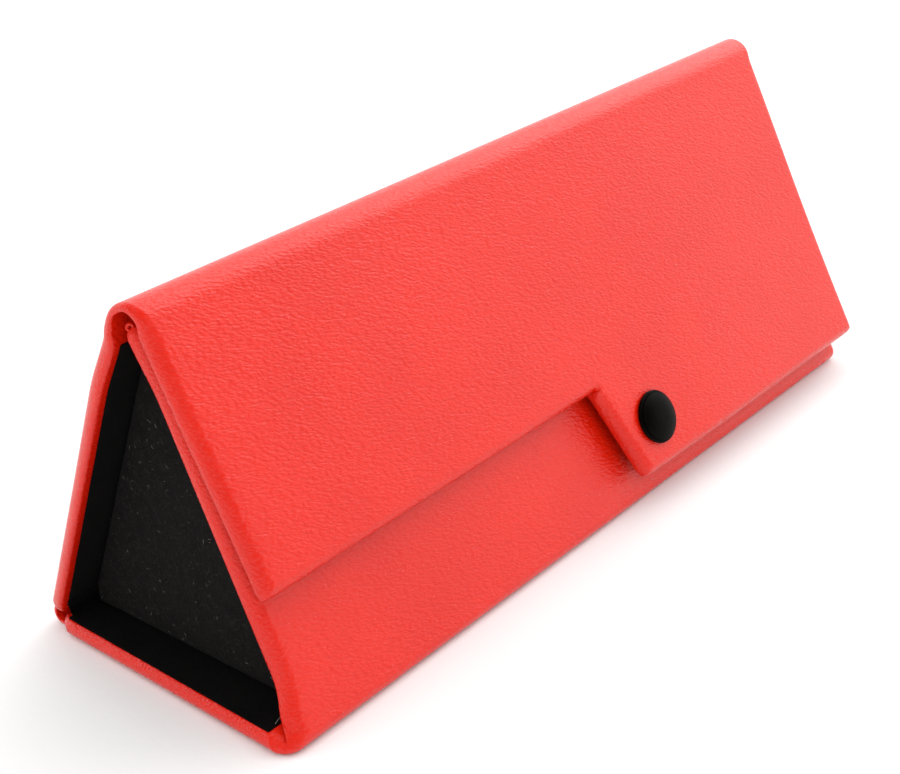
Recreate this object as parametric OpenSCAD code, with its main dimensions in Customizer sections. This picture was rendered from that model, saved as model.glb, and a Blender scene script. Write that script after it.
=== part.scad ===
/* [Case] */
// Length of the case, end to end
case_len = 165; // [150:1:180]
// Width of the triangle's base, corner to corner
base_w = 62; // [56:1:68]
// Height at which the front and back planes would meet
apex_h = 70.5; // [64:0.5:78]
/* [Wall] */
// Thickness of the outer leather
leather_t = 0.7; // [0.5:0.1:0.9]
// Thickness of the stiffening board
board_t = 1.9; // [1.5:0.1:2.2]
// Thickness of the lining cloth
lining_t = 0.7; // [0.4:0.1:0.9]
// Width of the leather turned in at each edge
hem_w = 1.6; // [1.3:0.1:3]
/* [Flap] */
// Height of the flap's lower edge on the short side, up the front's slope
flap_short_v = 25; // [20:0.2:32]
// Height of the flap's lower edge on the long side, up the front's slope
flap_long_v = 6; // [5:0.2:8]
// Place of the step between the two, along the length
step_x = -0.5; // [-10:0.5:2]
// How far the step's edge leans, in degrees
step_lean = 15.5; // [0:0.5:20]
// Gap between the front and the flap, at the top
flap_gap = 0.5; // [0.4:0.1:0.8]
// How far the flap's lower edge stands off the front, in degrees
flap_lift = 1.5; // [1.2:0.1:1.8]
// Radius of the leather fold at the top
fold_r = 6; // [5.8:0.1:6.2]
/* [Press stud] */
// Place of the press stud along the length
snap_x = 11.6; // [9:0.2:20]
// Place of the press stud up the front's slope
snap_v = 15.2; // [13.5:0.1:16]
// Diameter of the press stud's cap
cap_d = 10; // [9:0.5:11]
/* [End panels] */
// Depth of the end panels behind the rims
end_recess = 3.5; // [2.5:0.1:4.5]
// Thickness of an end panel's board
end_board_t = 1.2; // [0.8:0.1:1.4]
// Thickness of the felt on each face of an end panel
felt_t = 0.6; // [0.4:0.1:0.7]

/* [Hidden] */

eps = 0.01;
half_len = case_len / 2;
half_w = base_w / 2;
slope_len = sqrt(half_w * half_w + apex_h * apex_h);
slope_a = atan2(apex_h, half_w);
apex_half_a = 90 - slope_a;
wall_t = leather_t + board_t + lining_t;
roll_r = 1.5;

// The lower corners turn about these points, with the leather at this radius
corner_r = 2;
corner_v = corner_r / tan(slope_a / 2);
corner_y = half_w - corner_v;
foot_gap = 0.45;
mitre_v = wall_t / tan(slope_a / 2) + foot_gap;
front_strip_from = 175;
arc_steps = 24;
back_foot_v = 6.5;

// The fold at the top: its centre touches the back's plane and the flap's outer plane
flap_t = 3;
flap_out = flap_gap + flap_t;
fold_z = apex_h - (2 * fold_r - flap_out) / (2 * sin(apex_half_a));
fold_y = -flap_out / (2 * cos(apex_half_a));
back_top_v = (half_w - fold_y) * cos(slope_a) + fold_z * sin(slope_a);
fold_leather_t = 0.9;
fold_strip_to = 112;
flap_pivot_y = fold_y;
flap_pivot_z = fold_z + 1.2 * fold_r;
front_top_v = slope_len - 8;
flap_top_v = slope_len - 9.5;

// The end panels turn about these lines
end_out_x = half_len - end_recess;
end_t = end_board_t + 2 * felt_t;
end_in_x = end_out_x - end_t;
end_pivot_x = end_in_x - 0.2;
tab_t = 0.35;
end_base_z = wall_t + tab_t + 0.4;
end_side_gap = 0.8;
end_foot_z = 7.5;
end_top_z = 58.5;
inner_w0 = half_w - (wall_t + end_side_gap) / sin(slope_a);

// The press stud
post_r = 1.5;
washer_r = 4.5;
washer_t = 0.4;
socket_out = 1.1;
socket_bore_r = 2.35;
socket_deep = 1.2;
knob_r = 1.6;
knob_top = 1.6;
wire_r = 0.17;

RED = [0.93, 0.16, 0.13];
BLACK = [0.05, 0.05, 0.05];
BOARD = [0.62, 0.58, 0.5];

// Local axes of a wall: x along the case, y up the wall, z outwards from its outer plane
module on_front() {
    translate([0, -half_w, 0]) rotate([slope_a, 0, 0]) children();
}
module on_back() {
    mirror([0, 1, 0]) on_front() children();
}
module on_bottom() {
    mirror([0, 0, 1]) children();
}
module on_flap() {
    translate([0, flap_pivot_y, flap_pivot_z])
        rotate([-flap_lift, 0, 0])
            translate([0, -flap_pivot_y, -flap_pivot_z])
                on_front() translate([0, 0, flap_out]) children();
}

// A rectangle from (x0, y0) to (x1, y1) with round corners
module round_rect(x0, y0, x1, y1, r) {
    translate([x0 + r, y0]) square([x1 - x0 - 2 * r, y1 - y0]);
    translate([x0, y0 + r]) square([x1 - x0, y1 - y0 - 2 * r]);
    for (x = [x0 + r, x1 - r], y = [y0 + r, y1 - r])
        translate([x, y]) circle(r, $fn = 48);
}

// A wall's section drawn in (y, z), drawn out along the case from x0 to x1
module along_case(x0, x1) {
    translate([x0, 0, 0]) rotate([90, 0, 90]) linear_extrude(x1 - x0) children();
}

// The rolled ends of a wall of thickness t, from x0 to x1 and v0 to v1
module rolled_ends(x0, x1, v0, v1, t) {
    translate([0, v1, 0]) rotate([90, 0, 0]) linear_extrude(v1 - v0)
        round_rect(x0, -t, x1, 0, min(roll_r, t / 2 - 0.1));
}

// Space for the board and the lining inside a cover
module board_block(x0, x1, v0, v1) {
    translate([x0, v0, -leather_t - board_t]) cube([x1 - x0, v1 - v0, board_t]);
}
module lining_block(x0, x1, v0, v1, t) {
    translate([x0, v0, -t]) cube([x1 - x0, v1 - v0, lining_t]);
}

// Bottom wall
module bottom_board_block() {
    board_block(-half_len + leather_t, half_len - leather_t, -corner_y + 2.2, corner_y - 2.2);
}
module bottom_lining_block() {
    lining_block(-half_len + hem_w, half_len - hem_w, -half_w + mitre_v + 0.5, half_w - mitre_v - 0.5, wall_t);
}
module bottom_cover() {
    color(RED) on_bottom() difference() {
        intersection() {
            rolled_ends(-half_len, half_len, -half_w, half_w, wall_t);
            along_case(-half_len, half_len) polygon([
                [-corner_y, 0],
                [corner_y, 0],
                [corner_y, -leather_t],
                [half_w - mitre_v, -wall_t],
                [-half_w + mitre_v, -wall_t],
                [-corner_y, -leather_t]
            ]);
        }
        bottom_board_block();
        bottom_lining_block();
    }
}
module bottom_board() {
    color(BOARD) on_bottom() bottom_board_block();
}
module bottom_lining() {
    color(BLACK) on_bottom() bottom_lining_block();
}

// Leather webs round the lower corners and over the top, drawn as sections
function arc(cy, cz, r, a0, a1) =
    [for (i = [0 : arc_steps]) let (a = a0 + (a1 - a0) * i / arc_steps) [cy + r * cos(a), cz + r * sin(a)]];
function web_section(cy, cz, r, t, a0, a1) = concat(arc(cy, cz, r, a0, a1), arc(cy, cz, r - t, a1, a0));

module leather_web() {
    color(RED) along_case(-half_len + roll_r, half_len - roll_r) children();
}
module front_hinge_strip() {
    leather_web() polygon(web_section(-corner_y, corner_r, corner_r, leather_t, front_strip_from, 270));
}
module back_hinge_strip() {
    // The web runs on up the back's outer plane by this much past its curve
    run_up = back_foot_v - foot_gap - corner_v;
    run_y = -run_up * cos(slope_a);
    run_z = run_up * sin(slope_a);
    outer = arc(corner_y, corner_r, corner_r, -90, apex_half_a);
    inner = arc(corner_y, corner_r, corner_r - leather_t, apex_half_a, -90);
    leather_web() polygon(concat(
        outer,
        [outer[arc_steps] + [run_y, run_z], inner[0] + [run_y, run_z]],
        inner
    ));
}

// Cloth tabs that the end panels fold on
module end_tab(side) {
    tab_in = end_pivot_x - 8;
    color(BLACK) mirror([side < 0 ? 1 : 0, 0, 0])
        translate([tab_in, -inner_w0 + 3.5, wall_t])
            cube([end_out_x - tab_in, 2 * (inner_w0 - 3.5), tab_t]);
}
module left_end_tab() {
    end_tab(-1);
}
module right_end_tab() {
    end_tab(1);
}

// Back wall
module back_board_block() {
    board_block(-half_len + leather_t, half_len - leather_t, back_foot_v + 1, back_top_v - 1.2);
}
module back_lining_block() {
    lining_block(-half_len + hem_w, half_len - hem_w, back_foot_v + hem_w, back_top_v - hem_w - 0.4, wall_t);
}
module back_cover() {
    color(RED) on_back() difference() {
        intersection() {
            rolled_ends(-half_len, half_len, back_foot_v, back_top_v, wall_t);
            along_case(-half_len, half_len) union() {
                round_rect(back_foot_v, -wall_t, back_top_v, 0, 1.2);
                translate([back_top_v - 2, -leather_t - 0.8]) square([2, leather_t + 0.8]);
            }
        }
        back_board_block();
        back_lining_block();
    }
}
module back_board() {
    color(BOARD) on_back() back_board_block();
}
module back_lining() {
    color(BLACK) on_back() back_lining_block();
}
module top_hinge_strip() {
    leather_web()
        polygon(web_section(fold_y, fold_z, fold_r, fold_leather_t, apex_half_a, fold_strip_to));
}

// Front wall
module front_board_block() {
    difference() {
        board_block(-half_len + leather_t, half_len - leather_t, mitre_v, front_top_v - leather_t);
        snap_hole();
    }
}
module front_lining_block() {
    difference() {
        lining_block(-half_len + hem_w, half_len - hem_w, mitre_v + 0.8, front_top_v - hem_w, wall_t);
        snap_hole();
    }
}
module snap_hole() {
    translate([snap_x, snap_v, -2 * wall_t]) cylinder(h = 3 * wall_t, r = post_r, $fn = 64);
}
module front_cover() {
    color(RED) on_front() difference() {
        intersection() {
            rolled_ends(-half_len, half_len, 0, front_top_v, wall_t);
            along_case(-half_len, half_len) intersection() {
                polygon([
                    [corner_v + foot_gap, 0],
                    [front_top_v, 0],
                    [front_top_v, -wall_t],
                    [mitre_v, -wall_t]
                ]);
                round_rect(-2 * roll_r, -wall_t, front_top_v, 0, roll_r);
            }
        }
        front_board_block();
        front_lining_block();
        snap_hole();
    }
}
module front_board() {
    color(BOARD) on_front() front_board_block();
}
module front_lining() {
    color(BLACK) on_front() front_lining_block();
}

// Flap: long on the right, short on the left, drawn in its own plane
module flap_slab(x0, x1, v0, v1) {
    intersection() {
        rolled_ends(x0, x1, v0, v1, flap_t);
        along_case(x0, x1) round_rect(v0, -flap_t, v1, 0, 1.3);
    }
}
// The step's edge leans, so that the long part narrows towards its foot
function step_at(v) = step_x + (flap_short_v - v) * tan(step_lean);
module leaning_edge_slab() {
    intersection() {
        translate([step_x, flap_short_v, 0])
            rotate([0, 0, step_lean])
                translate([-step_x, -flap_short_v, 0])
                    rolled_ends(step_x, half_len - 20, flap_long_v - 20, flap_top_v + 20, flap_t);
        along_case(-half_len / 2, half_len - 30) round_rect(flap_long_v, -flap_t, flap_top_v, 0, 1.3);
    }
}
module flap_outline(inset, foot) {
    lean_inset = inset / cos(step_lean);
    polygon([
        [-half_len + inset, flap_short_v + inset],
        [step_at(flap_short_v + inset) + lean_inset, flap_short_v + inset],
        [step_at(flap_long_v + inset) + lean_inset, flap_long_v + inset],
        [half_len - inset, flap_long_v + inset],
        [half_len - inset, flap_top_v - foot],
        [-half_len + inset, flap_top_v - foot]
    ]);
}
module flap_board_block() {
    difference() {
        translate([0, 0, -flap_t + lining_t])
            linear_extrude(flap_t - leather_t - lining_t) flap_outline(leather_t, leather_t);
        snap_hole();
        socket_seat();
    }
}
module flap_lining_block() {
    difference() {
        translate([0, 0, -flap_t]) linear_extrude(lining_t) flap_outline(hem_w, hem_w);
        snap_hole();
        socket_seat();
    }
}
module flap_cover() {
    color(RED) on_flap() difference() {
        union() {
            flap_slab(-half_len, half_len / 2, flap_short_v, flap_top_v);
            leaning_edge_slab();
            flap_slab(step_x + 30, half_len, flap_long_v, flap_top_v);
        }
        translate([0, 0, -flap_t + lining_t])
            linear_extrude(flap_t - leather_t - lining_t) flap_outline(leather_t, leather_t);
        translate([0, 0, -flap_t]) linear_extrude(lining_t) flap_outline(hem_w, hem_w);
        snap_hole();
    }
}
module flap_board() {
    color(BOARD) on_flap() flap_board_block();
}
module flap_lining() {
    color(BLACK) on_flap() flap_lining_block();
}

// Press stud, each piece turned about its own axis
module at_snap() {
    translate([snap_x, snap_v, 0]) children();
}
module socket_seat() {
    at_snap() translate([0, 0, -flap_t - eps]) cylinder(h = socket_deep + eps, r = 3.2, $fn = 64);
}
module snap_cap() {
    dome_h = 1.5;
    rim_h = 0.5;
    cap_r = cap_d / 2;
    dome_r = (cap_r * cap_r + dome_h * dome_h) / (2 * dome_h);
    dome_a = asin(cap_r / dome_r);
    color(BLACK) on_flap() at_snap() rotate_extrude($fn = 96) {
        polygon(concat(
            [[0, 0], [cap_r - 0.2, 0], [cap_r, 0.2]],
            [for (i = [0 : 10])
                let (a = dome_a * (1 - i / 10))
                [dome_r * sin(a), rim_h + dome_r * cos(a) - dome_r + dome_h]]
        ));
        translate([0, -flap_t + socket_deep]) square([post_r, flap_t - socket_deep + 0.2]);
    }
}
module snap_socket() {
    color(BLACK) on_flap() at_snap() translate([0, 0, -flap_t]) rotate_extrude($fn = 96)
        polygon([
            [socket_bore_r, -socket_out],
            [washer_r - 0.4, -socket_out],
            [washer_r, -socket_out + 0.4],
            [washer_r, 0],
            [3.15, 0],
            [3.15, socket_deep],
            [0, socket_deep],
            [0, socket_deep - 0.4],
            [socket_bore_r, socket_deep - 0.4]
        ]);
}
module snap_spring() {
    color("silver") on_flap() at_snap() translate([0, 0, -flap_t - socket_out + 0.5])
        rotate([0, 0, 20]) rotate_extrude(angle = 320, $fn = 96)
            translate([socket_bore_r - wire_r, 0]) circle(wire_r, $fn = 24);
}
module snap_stud() {
    color(BLACK) on_front() at_snap() rotate_extrude($fn = 96)
        polygon([
            [0, 0],
            [washer_r, 0],
            [washer_r, 0.25],
            [washer_r - 0.25, 0.45],
            [knob_r - 0.25, 0.45],
            [knob_r - 0.25, 0.9],
            [knob_r, 1.1],
            [knob_r, knob_top - 0.25],
            [knob_r - 0.3, knob_top],
            [0, knob_top]
        ]);
}
module snap_post() {
    color(BLACK) on_front() at_snap() translate([0, 0, -wall_t]) rotate_extrude($fn = 96)
        polygon([
            [0, -washer_t],
            [washer_r - 0.3, -washer_t],
            [washer_r, 0],
            [post_r, 0],
            [post_r, wall_t],
            [0, wall_t]
        ]);
}

// End panels: felt on both faces of a board, drawn in (y, z)
module end_outline(inset) {
    w = function(z) inner_w0 - inset - z / tan(slope_a);
    foot_z = end_base_z + inset;
    top_z = end_top_z - inset;
    polygon([
        [-w(end_foot_z), foot_z],
        [w(end_foot_z), foot_z],
        [w(end_foot_z), end_foot_z],
        [w(top_z), top_z],
        [-w(top_z), top_z],
        [-w(end_foot_z), end_foot_z]
    ]);
}
module end_layer(side, from_x, t, inset) {
    mirror([side < 0 ? 1 : 0, 0, 0]) along_case(from_x, from_x + t) end_outline(inset);
}
module end_board(side) {
    color(BOARD) end_layer(side, end_in_x + felt_t, end_board_t, 0.3);
}
module end_facing(side) {
    color(BLACK) end_layer(side, end_out_x - felt_t, felt_t, 0);
}
module end_backing(side) {
    color(BLACK) end_layer(side, end_in_x, felt_t, 0);
}
module left_end_board() {
    end_board(-1);
}
module left_end_facing() {
    end_facing(-1);
}
module left_end_backing() {
    end_backing(-1);
}
module right_end_board() {
    end_board(1);
}
module right_end_facing() {
    end_facing(1);
}
module right_end_backing() {
    end_backing(1);
}

bottom_cover();
bottom_board();
bottom_lining();
front_hinge_strip();
back_hinge_strip();
left_end_tab();
right_end_tab();
back_cover();
back_board();
back_lining();
top_hinge_strip();
front_cover();
front_board();
front_lining();
snap_stud();
snap_post();
flap_cover();
flap_board();
flap_lining();
snap_cap();
snap_socket();
snap_spring();
left_end_board();
left_end_facing();
left_end_backing();
right_end_board();
right_end_facing();
right_end_backing();
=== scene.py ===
"""Looks of the folding eyeglasses case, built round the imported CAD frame."""

import math

import bmesh
import bpy
import numpy as np
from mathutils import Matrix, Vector, noise


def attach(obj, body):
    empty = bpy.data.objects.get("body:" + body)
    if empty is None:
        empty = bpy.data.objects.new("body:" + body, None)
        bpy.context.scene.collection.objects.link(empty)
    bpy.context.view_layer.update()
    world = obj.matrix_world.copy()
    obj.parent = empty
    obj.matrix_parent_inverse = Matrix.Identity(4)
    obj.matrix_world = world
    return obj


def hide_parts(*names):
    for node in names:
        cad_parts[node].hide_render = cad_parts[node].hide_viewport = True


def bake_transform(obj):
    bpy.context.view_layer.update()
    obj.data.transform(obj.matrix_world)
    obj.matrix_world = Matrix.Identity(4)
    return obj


MM = 0.001
TINY = 1e-6
FAR = 1e9

# The case's section, in millimetres, as in part.scad
HALF_LEN = 82.5
HALF_W = 31.0
APEX_H = 70.5
WALL_T = 3.3
FLAP_T = 3.0
HEM_W = 1.6
FLAP_GAP = 0.5
FLAP_LIFT = math.radians(1.5)
STEP_X = -0.5
STEP_LEAN = math.radians(15.5)
FLAP_SHORT_V = 25.0
FLAP_LONG_V = 6.0
SNAP_X = 11.6
SNAP_V = 15.2
CORNER_R = 2.0
FOLD_R = 6.0
SLOPE_LEN = math.hypot(HALF_W, APEX_H)
SLOPE = math.atan2(APEX_H, HALF_W)
CORNER_V = CORNER_R / math.tan(SLOPE / 2)
CORNER_Y = HALF_W - CORNER_V
FLAP_OUT = FLAP_GAP + FLAP_T
FOLD_Z = APEX_H - (2 * FOLD_R - FLAP_OUT) / (2 * math.cos(SLOPE))
FOLD_Y = -FLAP_OUT / (2 * math.sin(SLOPE))
BACK_TOP_V = (HALF_W - FOLD_Y) * math.cos(SLOPE) + FOLD_Z * math.sin(SLOPE)
FRONT_TOP_V = SLOPE_LEN - 8.0
FLAP_PIVOT = np.array([FOLD_Y, FOLD_Z + 1.2 * FOLD_R])

# The leather, as it shows at the edges, in millimetres
ROLL_OUT = 2.1
ROLL_IN = 0.7
ROLL_SHARE = 0.76
BOTTOM_ROLL_SHARE = 0.5
BOTTOM_HEM_W = 0.9
ROLL_SQUARENESS = 2.1
FOLD_BACK_T = 2.4
FOLD_CREST_T = 1.35
FOLD_FLAP_T = 2.3
FOLD_SHARES = (0.0, 0.3, 0.6, 1.0)
WEB_T = 0.8
LINING_RECESS = 0.15
RECESS_EDGE = 0.25
GRID = 1.6
ROLL_STEPS = 10
SLIMMEST = 0.25

# Where the flat leather of each wall ends and the bending leather begins, in millimetres
BOTTOM_TO = CORNER_Y - 0.6
BOTTOM_INNER = 25.3
BOTTOM_EVEN_TO = 22.0
FRONT_FOOT_V = CORNER_V + 0.7
FRONT_INNER_V = 5.6
FRONT_EVEN_FROM_V = 9.0
BACK_FOOT_V = CORNER_V + 0.6
FLAP_TOP_V = 69.5
FOLD_HANDLES = (7.6, 3.2)
FRONT_TOP_RAISE = 0.9
FLAP_BOW_RIGHT = 1.1

# How far the left ends of the base and back stand out past those of the front and flap, in the photo
BACK_SKEW = 3.1
BASE_SKEW = 4.5
FRONT_FOOT_SKEW = 1.6
FLAP_SKEW = 0.5
FLAP_TOP_SKEW = 1.0
FRONT_TOP_SKEW = 0.8
CORNER_DRAW_IN = 1.8
CORNER_DRAW_OVER = 3.5
BACK_TOP_LOSS = 0.34
TOP_SKEW_OVER = 12

# How the leather's grain lies: its creases are longer than wide and dip to the right on the flap
GRAIN_TURN = (0.0, math.radians(20.0), math.radians(-9.0))
GRAIN_STRETCH = (2.4, 1.0, 1.0)

# The linings, in millimetres
LINING_STEP = 2.2
LINING_INSET = 0.3
FLOOR_LINING_Y = (-25.0, 24.6)
FRONT_LINING_V = 6.4
CORNER_LINING_Y = 23.2
CORNER_LINING_V = BACK_FOOT_V + 4.5
CORNER_LINING_T = 0.3
CORNER_LINING_INSET = 1.4

# The end panels and the cloth they fold on, in millimetres
PANEL_OUT_X = 79.0
PANEL_IN_X = 76.6
PANEL_FOOT_Z = 4.05
PANEL_SHOULDER_Z = 7.5
PANEL_TOP_Z = 58.5
PANEL_HALF_W = 26.52
PANEL_TAPER = HALF_W / APEX_H
PANEL_SOFT_EDGE = 0.8
TAB_T = 0.28
TAB_HALF_W = PANEL_HALF_W - 5.5
TAB_TURN_X = 75.6
TAB_TURN_R = 0.85
TAB_Z = WALL_T + 0.05
TAB_FLOOR_X = (68.6, 72.0, 75.4)
TAB_PANEL_Z = (5.0, 7.0, 9.5)

# The press stud's cap, the ears at the front's top corners and the stray hair, in millimetres
CAP_R = 5.0
CAP_CURL_R = 0.45
CAP_RIM_H = 0.75
CAP_DOME_H = 1.25
EAR_T = 0.3
HAIR_FROM = (-84.2, -24.7, 3.55)

# The lights, in metres and watts, and where the dark side of the surroundings fades in
KEY_AT = (0.45, -0.10, 0.55)
KEY_TO = (0, 0, 0.03)
KEY_SIZE = (0.6, 0.6)
KEY_POWER = 1.9
DARK_SIDE = (-0.73, -0.53, 0.42)
DARK_FROM = math.radians(62)
DARK_TO = math.radians(88)
WORLD_STRENGTH = 1.45

# Camera: fitted to the photo's outlines
CAMERA_AT = (-0.21751, -0.18031, 0.15996)
CAMERA_TURN_DEG = (64.270, 2.816, -50.028)
CAMERA_LENS = 66.24
CAMERA_SHIFT = (0.0044, -0.0254)


# ---------------------------------------------------------------- materials
def new_material(name, base_color, roughness, **settings):
    """A material with its Principled shader, whose plain values are set on the shader's own sockets."""
    material = bpy.data.materials.new(name)
    material.use_nodes = True
    shader = material.node_tree.nodes["Principled BSDF"]
    shader.inputs["Base Color"].default_value = (*base_color, 1)
    shader.inputs["Roughness"].default_value = roughness
    for socket, value in settings.items():
        shader.inputs[socket.replace("_", " ")].default_value = value
    return material, material.node_tree, shader


def add_node(tree, kind, inputs=None, **settings):
    """A node of that kind, its settings set, and its inputs set or linked."""
    node = tree.nodes.new(kind)
    for key, value in settings.items():
        setattr(node, key, value)
    for socket, value in (inputs or {}).items():
        if isinstance(value, bpy.types.NodeSocket):
            tree.links.new(value, node.inputs[socket])
        else:
            node.inputs[socket].default_value = value
    return node


def rest_place(tree):
    """Where a leather piece's point was at rest, so that the grain runs on over the seams."""
    return add_node(tree, "ShaderNodeAttribute", attribute_name="rest_place").outputs["Vector"]


def object_place(tree):
    return add_node(tree, "ShaderNodeTexCoord").outputs["Object"]


def noise_value(tree, place, scale, detail=2.0, roughness=0.5, distortion=0.0):
    made = add_node(
        tree,
        "ShaderNodeTexNoise",
        {"Vector": place, "Scale": scale, "Detail": detail, "Roughness": roughness, "Distortion": distortion},
    )
    return made.outputs["Fac"]


def math_node(tree, operation, a, b):
    return add_node(tree, "ShaderNodeMath", {0: a, 1: b}, operation=operation).outputs[0]


def ramp(tree, value, low, high, to_low, to_high):
    made = add_node(
        tree,
        "ShaderNodeMapRange",
        {"Value": value, "From Min": low, "From Max": high, "To Min": to_low, "To Max": to_high},
    )
    return made.outputs["Result"]


def mix_colors(tree, factor, a, b):
    made = add_node(tree, "ShaderNodeMix", data_type="RGBA")
    for socket, value in ((0, factor), (6, a), (7, b)):
        if isinstance(value, bpy.types.NodeSocket):
            tree.links.new(value, made.inputs[socket])
        elif socket == 0:
            made.inputs[socket].default_value = value
        else:
            made.inputs[socket].default_value = (*value, 1)
    return made.outputs[2]


def bump(tree, height, distance, strength=1.0, after=None):
    inputs = {"Height": height, "Distance": distance, "Strength": strength}
    if after is not None:
        inputs["Normal"] = after
    return add_node(tree, "ShaderNodeBump", inputs).outputs["Normal"]


def red_leather():
    """Coated leather with a fine grain of short creases that run slightly down along the case."""
    material, tree, shader = new_material(
        "red_leather_grain", (0.6, 0.01, 0.0012), 0.24, Specular_IOR_Level=0.45
    )
    place = rest_place(tree)
    warp = add_node(
        tree, "ShaderNodeTexNoise", {"Vector": place, "Scale": 700.0, "Detail": 2.0}
    ).outputs["Color"]
    drift = add_node(
        tree, "ShaderNodeVectorMath", {0: warp, 1: (0.0005, 0.0005, 0.0005)}, operation="MULTIPLY"
    ).outputs[0]
    wrinkled = add_node(tree, "ShaderNodeVectorMath", {0: place, 1: drift}, operation="ADD").outputs[0]
    drawn = add_node(
        tree,
        "ShaderNodeMapping",
        {"Vector": wrinkled, "Rotation": GRAIN_TURN, "Scale": GRAIN_STRETCH},
        vector_type="TEXTURE",
    ).outputs["Vector"]
    pebble = add_node(
        tree,
        "ShaderNodeTexVoronoi",
        {"Vector": drawn, "Scale": 2300.0, "Smoothness": 0.5},
        feature="SMOOTH_F1",
    ).outputs["Distance"]
    crease = noise_value(tree, drawn, 2900.0, detail=3.0, roughness=0.6, distortion=0.5)
    swell = noise_value(tree, place, 90.0, detail=3.0)
    normal = bump(tree, swell, 0.0002, 0.18)
    normal = bump(tree, crease, 0.00013, 0.85, normal)
    normal = bump(tree, math_node(tree, "MULTIPLY", pebble, -1.0), 0.00013, 0.85, normal)
    tree.links.new(normal, shader.inputs["Normal"])
    mottle = noise_value(tree, place, 60.0, detail=3.0)
    tone = mix_colors(tree, ramp(tree, mottle, 0.3, 0.7, 0, 1), (0.61, 0.009, 0.001), (0.66, 0.012, 0.0015))
    # Painted shade: the base colour is darkened towards (0.54, 0.005, 0.0006) in the grain's hollows,
    # standing in for the shade that falls in them.
    hollow_shade = ramp(tree, pebble, 0.4, 0.8, 0.0, 0.3)
    tree.links.new(mix_colors(tree, hollow_shade, tone, (0.54, 0.005, 0.0006)), shader.inputs["Base Color"])
    tree.links.new(ramp(tree, crease, 0.3, 0.7, 0.19, 0.28), shader.inputs["Roughness"])
    return material


def black_velvet():
    """Lining cloth with a short dense pile."""
    material, tree, shader = new_material(
        "black_lining_velvet",
        (0.003, 0.0025, 0.0023),
        0.95,
        Specular_IOR_Level=0.08,
        Sheen_Weight=0.02,
        Sheen_Roughness=0.5,
    )
    place = object_place(tree)
    pile = noise_value(tree, place, 4200.0, detail=3.0)
    brushed = noise_value(tree, place, 160.0, detail=4.0)
    tree.links.new(bump(tree, pile, 0.00015, 0.8, bump(tree, brushed, 0.0003, 0.4)), shader.inputs["Normal"])
    stroked = ramp(tree, brushed, 0.35, 0.7, 0, 1)
    tone = mix_colors(tree, stroked, (0.0008, 0.0007, 0.0006), (0.0022, 0.0018, 0.0016))
    tree.links.new(tone, shader.inputs["Base Color"])
    return material


def black_felt():
    """Pressed felt, slightly brown, matted in patches and with pale specks in it."""
    material, tree, shader = new_material(
        "black_felt_pressed",
        (0.004, 0.0035, 0.0032),
        0.95,
        Specular_IOR_Level=0.1,
        Sheen_Weight=0.02,
        Sheen_Roughness=0.6,
    )
    place = object_place(tree)
    matted = noise_value(tree, place, 330.0, detail=5.0, roughness=0.65)
    fibres = noise_value(tree, place, 2600.0, detail=5.0, roughness=0.75, distortion=1.5)
    specks = ramp(tree, noise_value(tree, place, 1900.0, detail=3.0), 0.70, 0.80, 0.0, 0.35)
    normal = bump(tree, matted, 0.0005, 0.5)
    tree.links.new(bump(tree, fibres, 0.00025, 0.9, normal), shader.inputs["Normal"])
    patches = ramp(tree, matted, 0.35, 0.7, 0, 1)
    dark = mix_colors(tree, patches, (0.0012, 0.0008, 0.0007), (0.0042, 0.0031, 0.0027))
    tree.links.new(mix_colors(tree, specks, dark, (0.05, 0.044, 0.04)), shader.inputs["Base Color"])
    return material


def fibre_material(name, color):
    """Fibres whose colour fades along them."""
    material, tree, shader = new_material(name, color, 0.7, Specular_IOR_Level=0.3)
    fade = noise_value(tree, object_place(tree), 700.0)
    tree.links.new(
        mix_colors(tree, ramp(tree, fade, 0.3, 0.7, 0, 1), color, tuple(0.4 * c for c in color)),
        shader.inputs["Base Color"],
    )
    return material


def grey_board():
    """Bare cardboard with paper fibres."""
    material, tree, shader = new_material("grey_board_paper", (0.36, 0.33, 0.28), 0.9, Specular_IOR_Level=0.2)
    place = object_place(tree)
    pulp = noise_value(tree, place, 1400.0, detail=5.0, roughness=0.7)
    flecks = ramp(tree, noise_value(tree, place, 2600.0, detail=2.0), 0.68, 0.72, 0.0, 0.6)
    paper = mix_colors(tree, pulp, (0.28, 0.25, 0.21), (0.44, 0.41, 0.35))
    tree.links.new(mix_colors(tree, flecks, paper, (0.12, 0.10, 0.08)), shader.inputs["Base Color"])
    tree.links.new(bump(tree, pulp, 0.0001, 0.6), shader.inputs["Normal"])
    return material


def black_lacquer():
    """Satin lacquer on the press stud, finely scuffed."""
    material, tree, shader = new_material(
        "black_stud_lacquer", (0.0025, 0.002, 0.0016), 0.45, Specular_IOR_Level=0.04
    )
    place = object_place(tree)
    scuffs = noise_value(tree, place, 1800.0, detail=5.0, distortion=2.0)
    tree.links.new(ramp(tree, scuffs, 0.4, 0.7, 0.36, 0.5), shader.inputs["Roughness"])
    tree.links.new(bump(tree, noise_value(tree, place, 500.0), 0.0001, 0.25), shader.inputs["Normal"])
    tree.links.new(
        mix_colors(tree, ramp(tree, scuffs, 0.5, 0.8, 0, 1), (0.0016, 0.0012, 0.001), (0.004, 0.003, 0.0025)),
        shader.inputs["Base Color"],
    )
    return material


def spring_steel():
    """Bright drawn wire."""
    material, tree, shader = new_material("spring_steel_wire", (0.6, 0.6, 0.6), 0.3, Metallic=1.0)
    place = object_place(tree)
    drawn = noise_value(tree, place, 5000.0, detail=2.0)
    tree.links.new(ramp(tree, drawn, 0.3, 0.7, 0.2, 0.42), shader.inputs["Roughness"])
    tree.links.new(mix_colors(tree, drawn, (0.5, 0.5, 0.51), (0.68, 0.67, 0.65)), shader.inputs["Base Color"])
    return material


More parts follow.
